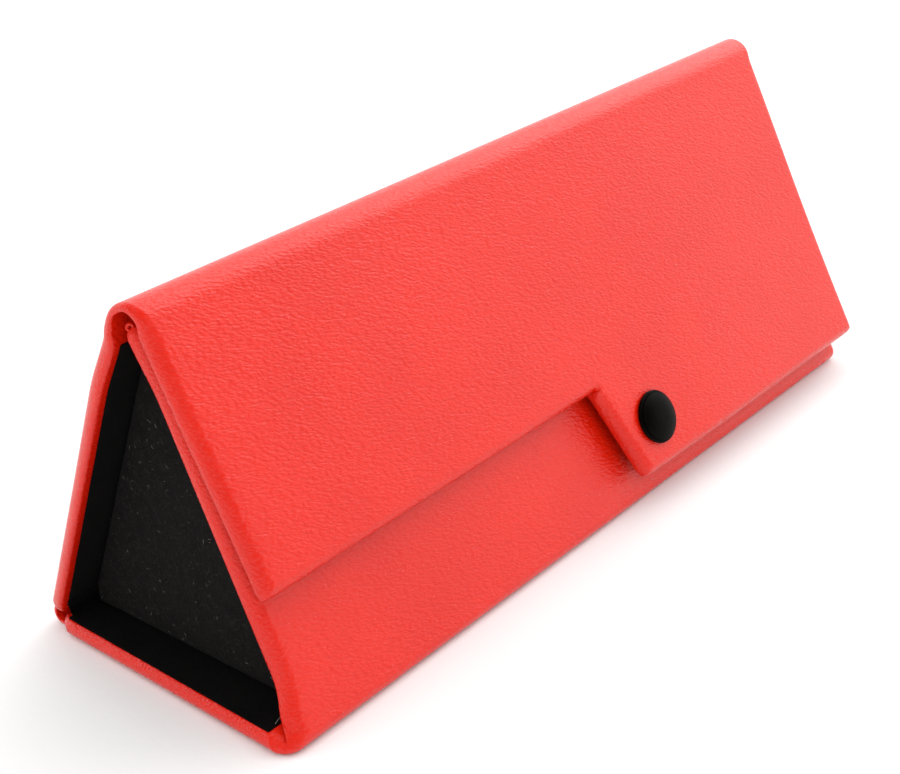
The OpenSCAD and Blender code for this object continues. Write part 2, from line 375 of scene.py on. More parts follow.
# ---------------------------------------------------------------- the section
class Wall:
    """A wall's outer plane in the case's section, with v up the wall and w outwards, in millimetres."""

    def __init__(self, foot, up, out):
        self.foot = np.array(foot, float)
        self.up = np.array(up, float)
        self.out = np.array(out, float)

    def at(self, v, w):
        v = np.asarray(v, float)[..., None]
        w = np.asarray(w, float)[..., None]
        return self.foot + v * self.up + w * self.out

    def turned(self, about, angle):
        c, s = math.cos(angle), math.sin(angle)
        turn = np.array([[c, -s], [s, c]])
        return Wall(turn @ (self.foot - about) + about, turn @ self.up, turn @ self.out)


UP = (math.cos(SLOPE), math.sin(SLOPE))
FRONT = Wall((-HALF_W, 0), UP, (-UP[1], UP[0]))
BACK = Wall((HALF_W, 0), (-UP[0], UP[1]), (UP[1], UP[0]))
BOTTOM = Wall((0, 0), (1, 0), (0, -1))
FLAP = Wall(FRONT.foot + FLAP_OUT * FRONT.out, FRONT.up, FRONT.out).turned(FLAP_PIVOT, -FLAP_LIFT)


def unevenness(x, v, seed, size, height):
    """Slow hollows and swells, in millimetres."""
    flat_x = np.asarray(x, float).ravel()
    flat_v = np.broadcast_to(np.asarray(v, float), np.shape(x)).ravel()
    made = [noise.noise(Vector((a / size, b / size, seed))) for a, b in zip(flat_x, flat_v)]
    return height * np.array(made).reshape(np.shape(x))


def quarter(t):
    """Rises from 0 to 1 along a quarter circle as t goes from 0 to 1."""
    t = np.clip(t, 0, 1)
    return np.sqrt(1 - (1 - t) ** 2)


def rolled(t):
    """Rises from 0 to 1 along a squarish quarter round as t goes from 0 to 1."""
    t = np.clip(t, 0, 1)
    return (1 - (1 - t) ** ROLL_SQUARENESS) ** (1 / ROLL_SQUARENESS)


def roll_lines(edge, inwards, width):
    """Grid lines over a rolled edge, closer together where the roll is steeper."""
    turn = np.linspace(0, math.pi / 2, ROLL_STEPS + 1)
    return edge + inwards * width * (1 - np.cos(turn))


def between(a, b, spacing):
    """Grid lines strictly between a and b."""
    count = max(2, round((b - a) / spacing))
    return np.linspace(a, b, count + 1)[1:-1]


# ---------------------------------------------------------------- meshes
def make_object(name, points, faces, material):
    """A smooth mesh from points in millimetres, with its place at rest kept for the grain."""
    mesh = bpy.data.meshes.new(name)
    mesh.from_pydata((np.asarray(points) * MM).tolist(), [], faces)
    mesh.validate()
    mesh.shade_smooth()
    mesh.set_sharp_from_angle(angle=math.radians(62))
    kept = mesh.attributes.new("rest_place", "FLOAT_VECTOR", "POINT")
    kept.data.foreach_set("vector", (np.asarray(points) * MM).astype(np.float32).ravel())
    mesh.materials.append(material)
    obj = bpy.data.objects.new(name, mesh)
    bpy.context.scene.collection.objects.link(obj)
    return obj


def sheet_columns(x0, x1, width, notch, spacing):
    """A sheet's columns, as the place each belongs to and how far into the sheet its roll takes it."""
    start, end = x0 + width, x1 - width
    if notch:
        beside = roll_lines(notch[0], 1, width)
        middle = [*between(start, notch[0], spacing), *beside, *between(notch[0] + width, end, spacing)]
    else:
        middle = list(between(start, end, spacing))
    places = [x0] * (ROLL_STEPS + 1) + middle + [x1] * (ROLL_STEPS + 1)
    reach = [*roll_lines(0, 1, width), *[0] * len(middle), *roll_lines(0, -1, width)[::-1]]
    return np.array(places), np.array(reach)


def sheet_rows(v0, v1, width, notch, spacing, open_low, open_high):
    """A sheet's rows, which lie closer together at each end that is rolled and at the notch."""
    rows = [v0] if open_low else list(roll_lines(v0, 1, width))
    if notch:
        rows += list(between(rows[-1], notch[1], spacing))
        rows += list(roll_lines(notch[1], 1, width))
    top = [v1] if open_high else list(roll_lines(v1, -1, width))[::-1]
    return np.array([*rows, *between(rows[-1], top[0], spacing), *top])


def edge_distances(x, v, outline, notch, open_low, open_high):
    """How far each point lies from its side edge and its rolled end, which sides those are, and the least."""
    x0, x1, v0, v1 = outline
    to_left, to_right = x - x0, x1 - x
    to_v = np.full(x.shape, FAR) if open_low else v - v0
    if notch:
        beside_notch = v < notch[1]
        to_left = np.where(beside_notch, x - notch[0], to_left)
        if not open_low:
            to_v = np.where(beside_notch, to_v, np.where(x <= notch[0], v - notch[1], FAR))
    to_x = np.minimum(to_left, to_right)
    x_side = np.where(to_left < to_right, -1.0, 1.0)
    v_side = np.full(x.shape, -1.0)
    if not open_high:
        v_side = np.where(v1 - v < to_v, 1.0, v_side)
        to_v = np.minimum(to_v, v1 - v)
    depth = np.minimum(to_x, to_v)
    if notch:
        past_notch = (x > notch[0]) & (v > notch[1])
        to_notch = np.hypot(x - notch[0], v - notch[1])
        depth = np.where(past_notch, np.minimum(depth, to_notch), depth)
    return to_x, x_side, to_v, v_side, depth


def slab(upper, lower, present, shut, open_rows):
    """Points and faces of a slab between two grids of points, which share their points where it is shut."""
    points, upper_index, lower_index = [], {}, {}
    for j, k in np.argwhere(present).tolist():
        upper_index[j, k] = lower_index[j, k] = len(points)
        points.append(tuple(upper[j, k]))
        if not shut[j, k]:
            lower_index[j, k] = len(points)
            points.append(tuple(lower[j, k]))
    faces = []
    rows, columns = present.shape
    for j in range(rows - 1):
        for k in range(columns - 1):
            cell = [(j, k), (j, k + 1), (j + 1, k + 1), (j + 1, k)]
            if all(corner in upper_index for corner in cell):
                faces.append([upper_index[corner] for corner in cell])
                faces.append([lower_index[corner] for corner in reversed(cell)])
    for j in open_rows:
        for k in range(columns - 1):
            cap = [upper_index[j, k], lower_index[j, k], lower_index[j, k + 1], upper_index[j, k + 1]]
            cap = list(dict.fromkeys(cap))
            if len(cap) > 2:
                faces.append(cap if j == 0 else cap[::-1])
    return points, faces


def rolled_sheet(name, outline, outer, inner, material, rolls, notch=None, open_low=False, open_high=False,
                 slim=None, square=0.0, recess=None, spacing=(GRID, GRID), skew=None, lean=None, share=None):
    """A closed slab that lies between the surfaces outer(x, v) and inner(x, v), with rolled edges.

    outline is (x0, x1, v0, v1), and rolls the widths of a roll's outer and inner part. The slab leaves out
    the corner where x and v are both below notch. An open end isn't rolled, and another piece goes on from
    it. slim(v) narrows the rolls, and share(v) is how much of the thickness their outer part takes. square
    goes from 0, round corners, to 1, square ones. recess is how wide the hem is and how deep the inside lies
    behind it. skew(v) is how far the left end is drawn out, and lean(x, v) how far a point goes right.
    """
    width_out, width_in = rolls
    places, reach = sheet_columns(outline[0], outline[1], width_out, notch, spacing[0])
    rows = sheet_rows(outline[2], outline[3], width_out, notch, spacing[1], open_low, open_high)
    narrow = (np.ones_like(rows) if slim is None else slim(rows))[:, None]
    x = places + reach * narrow
    v = np.broadcast_to(rows[:, None], x.shape)
    wide = np.broadcast_to(width_out * narrow, x.shape)
    to_x, x_side, to_v, v_side, depth = edge_distances(x, v, outline, notch, open_low, open_high)

    at_corner = (to_x < wide) & (to_v < wide)
    a, c = wide - to_x, wide - to_v
    rounding = np.where(at_corner, np.maximum(a, c) / np.maximum(np.hypot(a, c), 1e-9), 1.0)
    rounding = square + (1 - square) * rounding
    x = np.where(at_corner, x + x_side * a * (rounding - 1), x)
    v = np.where(at_corner, v + v_side * c * (rounding - 1), v)

    present = np.ones(x.shape, bool)
    if notch:
        present = ~((places < notch[0] - TINY) & (v < notch[1] - TINY))
    outer_part = np.full(x.shape, ROLL_SHARE) if share is None else share(v)
    turned_in = wide * width_in / width_out * (1 - outer_part) / (1 - ROLL_SHARE)
    sink_out = outer_part * (1 - rolled(depth / wide))
    sink_in = (1 - outer_part) * (1 - quarter(depth / turned_in))
    outer_at, inner_at = outer(x, v), inner(x, v)
    across = inner_at - outer_at
    upper = outer_at + sink_out[..., None] * across
    lower = inner_at - sink_in[..., None] * across
    if recess is not None:
        hem, deep = recess
        inset = deep * np.clip((depth - hem) / RECESS_EDGE, 0, 1)
        thickness = np.linalg.norm(across, axis=-1)
        lower = lower - across * (inset / np.maximum(thickness, TINY))[..., None]
    if lean is not None:
        x = x + lean(x, v)
    if skew is not None:
        x = x - skew(v) * np.clip(-x / HALF_LEN, 0, 1) ** 2

    open_rows = [0] * open_low + [len(rows) - 1] * open_high
    upper, lower = (np.concatenate([x[..., None], side_at], -1) for side_at in (upper, lower))
    return make_object(name, *slab(upper, lower, present, depth < TINY, open_rows), material)


def along_path(points):
    """A surface that follows a line of points in the section, as v goes from 0 to 1."""
    along = np.linspace(0, 1, len(points))

    def surface(x, v):
        return np.stack([np.interp(v, along, points[:, 0]), np.interp(v, along, points[:, 1])], -1)

    return surface


def bezier(a, b, c, d, count=41):
    """Points of a cubic curve from a to d, with the handles b and c."""
    t = np.linspace(0, 1, count)[:, None]
    return (1 - t) ** 3 * a + 3 * t * (1 - t) ** 2 * b + 3 * t * t * (1 - t) * c + t**3 * d


def even(points, count=121):
    """The same line with its points at even distances."""
    points = np.array(points)
    steps = np.r_[0, np.cumsum(np.linalg.norm(np.diff(points, axis=0), axis=1))]
    keep = np.r_[True, np.diff(steps) > 1e-9]
    at = np.linspace(0, steps[-1], count)
    return np.stack([np.interp(at, steps[keep], points[keep, i]) for i in (0, 1)], -1)


def left_normals(points):
    """Unit normals of a line in the section, on its left."""
    tangents = np.gradient(points, axis=0)
    tangents /= np.linalg.norm(tangents, axis=1)[:, None]
    return np.stack([-tangents[:, 1], tangents[:, 0]], -1)


def fade_in(distance, over):
    """Rises smoothly from 0 to 1 over that distance."""
    t = np.clip(distance / over, 0, 1)
    return t * t * (3 - 2 * t)


# ---------------------------------------------------------------- leather covers
def taper(end, thin, full, over):
    """Thickness falling along a quarter circle from full to thin at an end where another piece goes on."""
    return lambda v: thin + (full - thin) * np.minimum(np.ones_like(v), quarter((end - v) / over))


def slim_like(thickness, full):
    """Rolls that narrow with the thickness."""
    return lambda v: np.maximum(thickness(v) / full, SLIMMEST)


def back_skew(v):
    """Less towards the fold, and drawn in at the foot, where only the bare leather goes on."""
    web = CORNER_DRAW_IN * (1 - fade_in(v - BACK_FOOT_V, CORNER_DRAW_OVER))
    near_top = fade_in(v - BACK_TOP_V + TOP_SKEW_OVER, TOP_SKEW_OVER)
    return BACK_SKEW * (1 - BACK_TOP_LOSS * near_top) - web


def base_skew(v):
    """Grows from the back's skew at the back to its own at the front, and is drawn in where they meet."""
    web = CORNER_DRAW_IN * (1 - fade_in(BOTTOM_TO - v, CORNER_DRAW_OVER))
    return BACK_SKEW + (BASE_SKEW - BACK_SKEW) * (BOTTOM_TO - v) / (2 * BOTTOM_TO) - web


def front_skew(v):
    """A little at the foot, which follows the base, and a little at the top."""
    top = FRONT_TOP_SKEW * fade_in(v - FRONT_TOP_V + TOP_SKEW_OVER, TOP_SKEW_OVER)
    return FRONT_FOOT_SKEW * (1 - fade_in(v - FRONT_FOOT_V, 9)) + top


def back_thickness(v):
    """Thin where the boards end, at the foot and before the fold at the top."""
    foot = WEB_T + (WALL_T - WEB_T) * quarter((v - BACK_FOOT_V) / 3.0)
    top = FOLD_BACK_T + (WALL_T - FOLD_BACK_T) * quarter((BACK_TOP_V - v) / 3.0)
    return np.minimum(foot, top)


def back_cover(leather):
    def outer(x, v):
        calm = fade_in(v - BACK_FOOT_V, 6) * fade_in(BACK_TOP_V - v, 6)
        return BACK.at(v, calm * unevenness(x, v, 3.1, 34, 0.16))

    cover = rolled_sheet(
        "back_leather",
        (-HALF_LEN, HALF_LEN, BACK_FOOT_V, BACK_TOP_V),
        outer,
        lambda x, v: BACK.at(v, -back_thickness(v)),
        leather,
        (ROLL_OUT, ROLL_IN),
        open_low=True,
        open_high=True,
        slim=slim_like(back_thickness, WALL_T),
        recess=(HEM_W, LINING_RECESS),
        skew=back_skew,
    )
    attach(cover, "back")
    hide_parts("back_cover")


def bottom_cover(leather):
    thickness = taper(BOTTOM_TO, WEB_T, WALL_T, 2.2)

    def inner(x, v):
        drawn_in = np.interp(v, [-BOTTOM_TO, -BOTTOM_EVEN_TO], [-BOTTOM_INNER, -BOTTOM_EVEN_TO])
        return BOTTOM.at(np.where(v < -BOTTOM_EVEN_TO, drawn_in, v), -thickness(v))

    cover = rolled_sheet(
        "bottom_leather",
        (-HALF_LEN, HALF_LEN, -BOTTOM_TO, BOTTOM_TO),
        lambda x, v: BOTTOM.at(v, np.zeros(x.shape)),
        inner,
        leather,
        (ROLL_OUT, ROLL_IN),
        open_low=True,
        open_high=True,
        slim=slim_like(thickness, WALL_T),
        recess=(BOTTOM_HEM_W, LINING_RECESS),
        skew=base_skew,
        share=lambda v: np.full(v.shape, BOTTOM_ROLL_SHARE),
    )
    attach(cover, "base")
    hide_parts("bottom_cover")


def front_cover(leather):
    def outer(x, v):
        calm = fade_in(v - FRONT_FOOT_V, 6)
        return FRONT.at(v, calm * unevenness(x, v, 7.7, 30, 0.14))

    def inner(x, v):
        drawn_in = np.interp(v, [FRONT_FOOT_V, FRONT_EVEN_FROM_V], [FRONT_INNER_V, FRONT_EVEN_FROM_V])
        return FRONT.at(np.where(v < FRONT_EVEN_FROM_V, drawn_in, v), np.full(x.shape, -WALL_T))

    cover = rolled_sheet(
        "front_leather",
        (-HALF_LEN, HALF_LEN, FRONT_FOOT_V, FRONT_TOP_V + FRONT_TOP_RAISE),
        outer,
        inner,
        leather,
        (ROLL_OUT, ROLL_IN),
        open_low=True,
        recess=(HEM_W, LINING_RECESS),
        skew=front_skew,
    )
    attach(cover, "front")
    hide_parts("front_cover")


def flap_bow(x, v):
    """The flap's lower edges stand off the front a little more than its hinge alone gives."""
    low = np.clip(1 - v / 50.0, 0, 1) ** 2
    right = fade_in(x - STEP_X + 14, 40)
    return FLAP_BOW_RIGHT * low * right


def flap_inside_bow(x, v):
    """Inside, only the hem follows that bow, because the board stays straight."""
    return flap_bow(x, v) * (1 - 0.9 * fade_in(v - FLAP_LONG_V, 1.5))


def step_lean(x, v):
    """The step's edge leans to the right towards its foot, and the leather past it less and less."""
    return np.clip(FLAP_SHORT_V - v, 0, None) * math.tan(STEP_LEAN) * (1 - fade_in(x - STEP_X, 55))


def flap_skew(v):
    """Grows towards the fold."""
    return FLAP_SKEW + FLAP_TOP_SKEW * fade_in(v - FLAP_SHORT_V, FLAP_TOP_V - FLAP_SHORT_V)


def flap_cover(leather):
    thickness = taper(FLAP_TOP_V, FOLD_FLAP_T, FLAP_T, 1.8)

    def outer(x, v):
        calm = fade_in(FLAP_TOP_V - v, 6)
        return FLAP.at(v, flap_bow(x, v) + calm * unevenness(x, v, 1.3, 32, 0.16))

    cover = rolled_sheet(
        "flap_leather",
        (-HALF_LEN, HALF_LEN, FLAP_LONG_V, FLAP_TOP_V),
        outer,
        lambda x, v: FLAP.at(v, flap_inside_bow(x, v) - thickness(v)),
        leather,
        (ROLL_OUT, ROLL_IN),
        notch=(STEP_X, FLAP_SHORT_V),
        open_high=True,
        slim=slim_like(thickness, FLAP_T),
        recess=(HEM_W, LINING_RECESS),
        square=0.55,
        skew=flap_skew,
        lean=step_lean,
    )
    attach(cover, "flap")
    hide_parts("flap_cover")


def bend(name, lines, leather, slim, turn, replaced, skews, shares=(ROLL_SHARE, ROLL_SHARE)):
    """A leather piece that follows two lines in the section round the corner between two bodies; it is baked
    in place and does not bend.

    lines are its outer and inner line. turn is not used: its points, where the bending would start and end,
    are put into the row frame and dropped. skews and shares hold a value for each end.
    """
    outer_line, inner_line = lines
    turn_from, turn_to = turn
    piece = rolled_sheet(
        name,
        (-HALF_LEN, HALF_LEN, 0.0, 1.0),
        along_path(outer_line),
        along_path(inner_line),
        leather,
        (ROLL_OUT, ROLL_IN),
        open_low=True,
        open_high=True,
        spacing=(GRID, 1 / 40),
        slim=slim,
        skew=lambda at: skews[0] + (skews[1] - skews[0]) * at,
        share=lambda at: shares[0] + (shares[1] - shares[0]) * at,
    )
    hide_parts(replaced)
    in_frame(turn_from)
    in_frame(turn_to)
    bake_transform(piece)


def in_frame(point):
    """A point of the section, in metres, in the row frame."""
    return (0.0, point[0] * MM, point[1] * MM)


def arc_line(centre, radius, from_deg, to_deg, count=40):
    """Points of an arc in the section."""
    turn = np.radians(np.linspace(from_deg, to_deg, count))
    return np.stack([centre[0] + radius * np.cos(turn), centre[1] + radius * np.sin(turn)], -1)


def front_corner(leather):
    """The hem runs on round the lower front corner, pinched to a notch inside it."""
    centre = (-CORNER_Y, CORNER_R)
    arc = arc_line(centre, CORNER_R, 270, 180 - math.degrees(math.pi / 2 - SLOPE))
    outer_line = even(np.vstack([BOTTOM.at(-BOTTOM_TO, 0), arc, FRONT.at(FRONT_FOOT_V, 0)]))
    low = BOTTOM.at(-BOTTOM_INNER, -WALL_T)
    high = FRONT.at(FRONT_INNER_V, -WALL_T)
    notch = np.array([-CORNER_Y + 0.15, CORNER_R + 0.1])
    pull = (notch - (low + high) / 8) / 0.75
    inner_line = even(bezier(low, pull, pull, high))
    bend(
        "front_corner_leather",
        (outer_line, inner_line),
        leather,
        np.ones_like,
        (arc[0], arc[-1]),
        "front_hinge_strip",
        (BASE_SKEW, FRONT_FOOT_SKEW),
        (BOTTOM_ROLL_SHARE, ROLL_SHARE),
    )


def back_corner(leather):
    """Only the bare leather goes round the lower back corner."""
    centre = (CORNER_Y, CORNER_R)
    arc = arc_line(centre, CORNER_R, -90, math.degrees(math.pi / 2 - SLOPE))
    outer_line = even(np.vstack([BOTTOM.at(BOTTOM_TO, 0), arc, BACK.at(BACK_FOOT_V, 0)]))
    inner_line = outer_line + WEB_T * left_normals(outer_line)
    bend(
        "back_corner_leather",
        (outer_line, inner_line),
        leather,
        lambda at: np.full(at.shape, max(WEB_T / WALL_T, SLIMMEST)),
        (arc[0], arc[-1]),
        "back_hinge_strip",
        (BACK_SKEW - CORNER_DRAW_IN, BACK_SKEW - CORNER_DRAW_IN),
    )


def along_fold(back, crest, flap):
    """A measure that goes from the back's over the crest's to the flap's, by the share of the fold passed."""
    return lambda at: np.interp(at, FOLD_SHARES, [back, crest, crest, flap])


def top_fold(leather):
    """The leather that the flap hangs from, folded over from the back."""
    start, end = BACK.at(BACK_TOP_V, 0), FLAP.at(FLAP_TOP_V, 0)
    outer_line = even(bezier(start, start + FOLD_HANDLES[0] * BACK.up, end + FOLD_HANDLES[1] * FLAP.up, end))
    thickness = along_fold(FOLD_BACK_T, FOLD_CREST_T, FOLD_FLAP_T)
    shares = np.linspace(0, 1, len(outer_line))
    inner_line = outer_line + thickness(shares)[:, None] * left_normals(outer_line)
    bend(
        "top_fold_leather",
        (outer_line, inner_line),
        leather,
        along_fold(FOLD_BACK_T / WALL_T, FOLD_CREST_T / WALL_T, FOLD_FLAP_T / FLAP_T),
        (start, end),
        "top_hinge_strip",
        (back_skew(BACK_TOP_V), FLAP_SKEW + FLAP_TOP_SKEW),
    )


# ---------------------------------------------------------------- linings
def lining(name, node, body, wall, thickness, outline, velvet, notch=None, bow=None, skew=None, lean=None):
    """A velvet sheet set into the inside of a wall, crowned a little by its glue and pile."""

    def surface(height, pile):
        def at(x, v):
            lift = bow(x, v) if bow else 0.0
            return wall.at(v, -thickness + height + lift + unevenness(x, v, 5.5, 9, pile))

        return at

    sheet = rolled_sheet(
        name,
        outline,
        surface(0.35, 0.0),
        surface(-0.02, 0.05),
        velvet,
        (LINING_INSET, LINING_INSET),
        notch=notch,
        spacing=(LINING_STEP, LINING_STEP),
        skew=skew,
        lean=lean,
    )
    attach(sheet, body)
    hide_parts(node)


def back_corner_lining(velvet):
    """The lining cloth runs on round the lower back corner, from the floor up the back."""
    height = -WALL_T - 0.1
    low = BOTTOM.at(CORNER_LINING_Y, height)
    high = BACK.at(CORNER_LINING_V, height)
    foot = BACK.at(0.0, height - 0.2)
    rise = BACK.at(1.0, height - 0.2) - foot
    meet = foot + rise * (WALL_T + 0.3 - foot[1]) / rise[1]
    top_line = even(bezier(low, meet, meet, high))
    under_line = top_line - CORNER_LINING_T * left_normals(top_line)
    skews = [base_skew(CORNER_LINING_Y), BACK_SKEW - 0.6, back_skew(CORNER_LINING_V)]
    sheet = rolled_sheet(
        "back_corner_velvet",
        (-HALF_LEN + CORNER_LINING_INSET, HALF_LEN - CORNER_LINING_INSET, 0.0, 1.0),
        along_path(under_line),
        along_path(top_line),
        velvet,
        (0.25, 0.2),
        open_low=True,
        open_high=True,
        spacing=(LINING_STEP, 1 / 24),
        skew=lambda at: np.interp(at, [0, 0.5, 1], skews),
    )
    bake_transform(sheet)


def linings(velvet):
    """The velvet sheets of the three walls, the lower back corner and the flap."""
    x0, x1 = -HALF_LEN + HEM_W, HALF_LEN - HEM_W
    floor_outline = (-HALF_LEN + BOTTOM_HEM_W, HALF_LEN - BOTTOM_HEM_W, *FLOOR_LINING_Y)
    back_outline = (x0, x1, BACK_FOOT_V + 3, BACK_TOP_V - 1.7)
    front_outline = (x0, x1, FRONT_LINING_V, FRONT_TOP_V - HEM_W)
    lining("bottom_velvet", "bottom_lining", "base", BOTTOM, WALL_T, floor_outline, velvet, skew=base_skew)
    back_corner_lining(velvet)
    lining("back_velvet", "back_lining", "back", BACK, WALL_T, back_outline, velvet, skew=back_skew)
    lining("front_velvet", "front_lining", "front", FRONT, WALL_T, front_outline, velvet, skew=front_skew)
    lining(
        "flap_velvet",
        "flap_lining",
        "flap",
        FLAP,
        FLAP_T,
        (x0, x1, FLAP_LONG_V + HEM_W, FLAP_TOP_V - 3),
        velvet,
        notch=(STEP_X + HEM_W, FLAP_SHORT_V + HEM_W),
        bow=flap_inside_bow,
        skew=flap_skew,
        lean=step_lean,
    )


# ---------------------------------------------------------------- end panels
def panel_half_width(z):
    """Half the panel's width at a height: it tapers from its shoulders up."""
    return PANEL_HALF_W - PANEL_TAPER * np.maximum(z, PANEL_SHOULDER_Z)


def panel_depth(y, z):
    """How far a point of the panel lies inside its outline."""
    to_side = (panel_half_width(z) - np.abs(y)) * math.sin(SLOPE)
    return np.minimum(np.minimum(to_side, z - PANEL_FOOT_Z), PANEL_TOP_Z - z)


def felt_layer(name, node, side, face_x, back_x, felt, seed):
    """Felt drawn over one face of an end panel's board and down over its edges."""
    soft = PANEL_SOFT_EDGE
    rows = np.r_[
        roll_lines(PANEL_FOOT_Z, 1, soft),
        between(PANEL_FOOT_Z + soft, PANEL_TOP_Z - soft, 0.9),
        roll_lines(PANEL_TOP_Z, -1, soft)[::-1],
    ]
    edge = roll_lines(0, 1, soft) / soft * 0.045
    across = np.r_[-1 + edge, between(-1 + edge[-1], 1 - edge[-1], 0.035), (1 - edge)[::-1]]
    z = np.broadcast_to(rows[:, None], (len(rows), len(across)))
    y = across[None, :] * panel_half_width(z)
    depth = np.maximum(panel_depth(y, z), 0)
    rise = quarter(depth / soft)
    matted = unevenness(y, z, seed, 5.0, 0.10) + unevenness(y, z, seed + 4, 1.6, 0.05)
    x_face = back_x + (face_x - back_x) * rise + matted * rise * np.sign(face_x - back_x)
    points = list(zip((side * x_face).ravel(), y.ravel(), z.ravel()))
    count = len(points)
    points += list(zip(np.full(count, side * back_x), y.ravel(), z.ravel()))
    rows_n, columns = z.shape
    faces = []
    flip = (side > 0) == (face_x > back_x)
    for j in range(rows_n - 1):
        for k in range(columns - 1):
            cell = [j * columns + k, j * columns + k + 1, (j + 1) * columns + k + 1, (j + 1) * columns + k]
            faces.append(cell if flip else cell[::-1])
            under = [i + count for i in cell]
            faces.append(under[::-1] if flip else under)
    mesh_object = make_object(name, points, faces, felt)
    weld(mesh_object)
    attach(mesh_object, body_of_side(side))
    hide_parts(node)


def weld(obj):
    """Joins points that lie together, which closes a mesh along its outline."""
    shape = bmesh.new()
    shape.from_mesh(obj.data)
    bmesh.ops.remove_doubles(shape, verts=shape.verts, dist=1e-6)
    bmesh.ops.recalc_face_normals(shape, faces=shape.faces)
    shape.to_mesh(obj.data)
    shape.free()


def body_of_side(side):
    return "left_end" if side < 0 else "right_end"


def tube(path, radius, sides=5):
    """Points and faces of a closed thin tube along a path, narrowed at its ends."""
    path = np.array(path, float)
    tangents = np.gradient(path, axis=0)
    tangents /= np.linalg.norm(tangents, axis=1)[:, None]
    helper = np.array([0.31, 0.23, 0.92])
    first = np.cross(tangents, helper)
    first /= np.linalg.norm(first, axis=1)[:, None]
    second = np.cross(tangents, first)
    turn = np.linspace(0, 2 * math.pi, sides, endpoint=False)
    share = np.linspace(0, 1, len(path))
    radii = radius * (1 - 0.5 * np.abs(2 * share - 1) ** 3)
    rings = path[:, None] + radii[:, None, None] * (
        np.cos(turn)[None, :, None] * first[:, None] + np.sin(turn)[None, :, None] * second[:, None]
    )
    points = rings.reshape(-1, 3)
    faces = [
        [r * sides + k, r * sides + (k + 1) % sides, (r + 1) * sides + (k + 1) % sides, (r + 1) * sides + k]
        for r in range(len(path) - 1)
        for k in range(sides)
    ]
    last = (len(path) - 1) * sides
    faces += [list(range(sides))[::-1], [last + k for k in range(sides)]]
    return points, faces


def fibres(name, side, count, lengths, radius, material, seed):
    """Loose fibres that lie on the felt, curled and slightly raised."""
    random = np.random.default_rng(seed)
    points, faces = [], []
    while count > 0:
        z = random.uniform(PANEL_FOOT_Z + 1, PANEL_TOP_Z - 1)
        y = random.uniform(-1, 1) * panel_half_width(PANEL_FOOT_Z)
        if panel_depth(y, z) < PANEL_SOFT_EDGE:
            continue
        count -= 1
        heading = random.uniform(0, 2 * math.pi)
        curl = random.normal(0, 1.1)
        length = random.uniform(*lengths)
        steps = 6
        place = np.array([side * (PANEL_OUT_X + 0.04), y, z])
        path = [place]
        for i in range(steps):
            heading += curl / steps + random.normal(0, 0.25)
            lift = side * random.uniform(-0.01, 0.03)
            step = length / steps
            place = place + np.array([lift, math.cos(heading) * step, math.sin(heading) * step])
            path.append(place)
        made, made_faces = tube(path, radius * random.uniform(0.6, 1.2), sides=3)
        faces += [[i + len(points) for i in face] for face in made_faces]
        points += list(made)
    obj = make_object(name, points, faces, material)
    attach(obj, body_of_side(side))


def end_panels(felt, fibre, lint):
    """Both panels: felt on each face, and loose fibres and lint on the outside."""
    middle = (PANEL_OUT_X + PANEL_IN_X) / 2
    for side, word in ((-1, "left"), (1, "right")):
        felt_layer(f"{word}_felt_outside", f"{word}_end_facing", side, PANEL_OUT_X, middle, felt, 2.0)
        felt_layer(f"{word}_felt_inside", f"{word}_end_backing", side, PANEL_IN_X, middle, felt, 6.0)
        fibres(f"{word}_felt_fibres", side, 1500, (0.5, 1.6), 0.022, fibre, 11 + side)
        fibres(f"{word}_lint", side, 90, (0.2, 0.9), 0.03, lint, 31 + side)


def end_tabs(felt):
    """The cloth each end panel folds on, glued to the floor and to the panel's inner face."""
    for side, word in ((-1, "left"), (1, "right")):
        lower = [(side * x, TAB_Z) for x in TAB_FLOOR_X]
        turn = arc_line((side * TAB_TURN_X, TAB_Z + TAB_TURN_R), TAB_TURN_R, -90, -90 + side * 88, 9)
        upper = [(side * (TAB_TURN_X + TAB_TURN_R), z) for z in TAB_PANEL_Z]
        line = even(np.vstack([lower, turn, upper]), 41)
        normal = left_normals(line) * side
        columns = np.linspace(-TAB_HALF_W, TAB_HALF_W, 41)
        points, faces = [], []
        for offset in (0.0, TAB_T):
            for i, (x, z) in enumerate(line):
                for y in columns:
                    edge = quarter((TAB_HALF_W - abs(y)) / 0.4) * quarter(min(i, len(line) - 1 - i) / 2.0)
                    off = TAB_T / 2 + (offset - TAB_T / 2) * edge
                    points.append((x + normal[i, 0] * off, y, z + normal[i, 1] * off))
        n, m = len(line), len(columns)
        for i in range(n - 1):
            for k in range(m - 1):
                cell = [i * m + k, i * m + k + 1, (i + 1) * m + k + 1, (i + 1) * m + k]
                faces += [cell, [c + n * m for c in reversed(cell)]]
        tab = make_object(f"{word}_cloth_hinge", points, faces, felt)
        weld(tab)
        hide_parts(f"{word}_end_tab")
        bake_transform(tab)


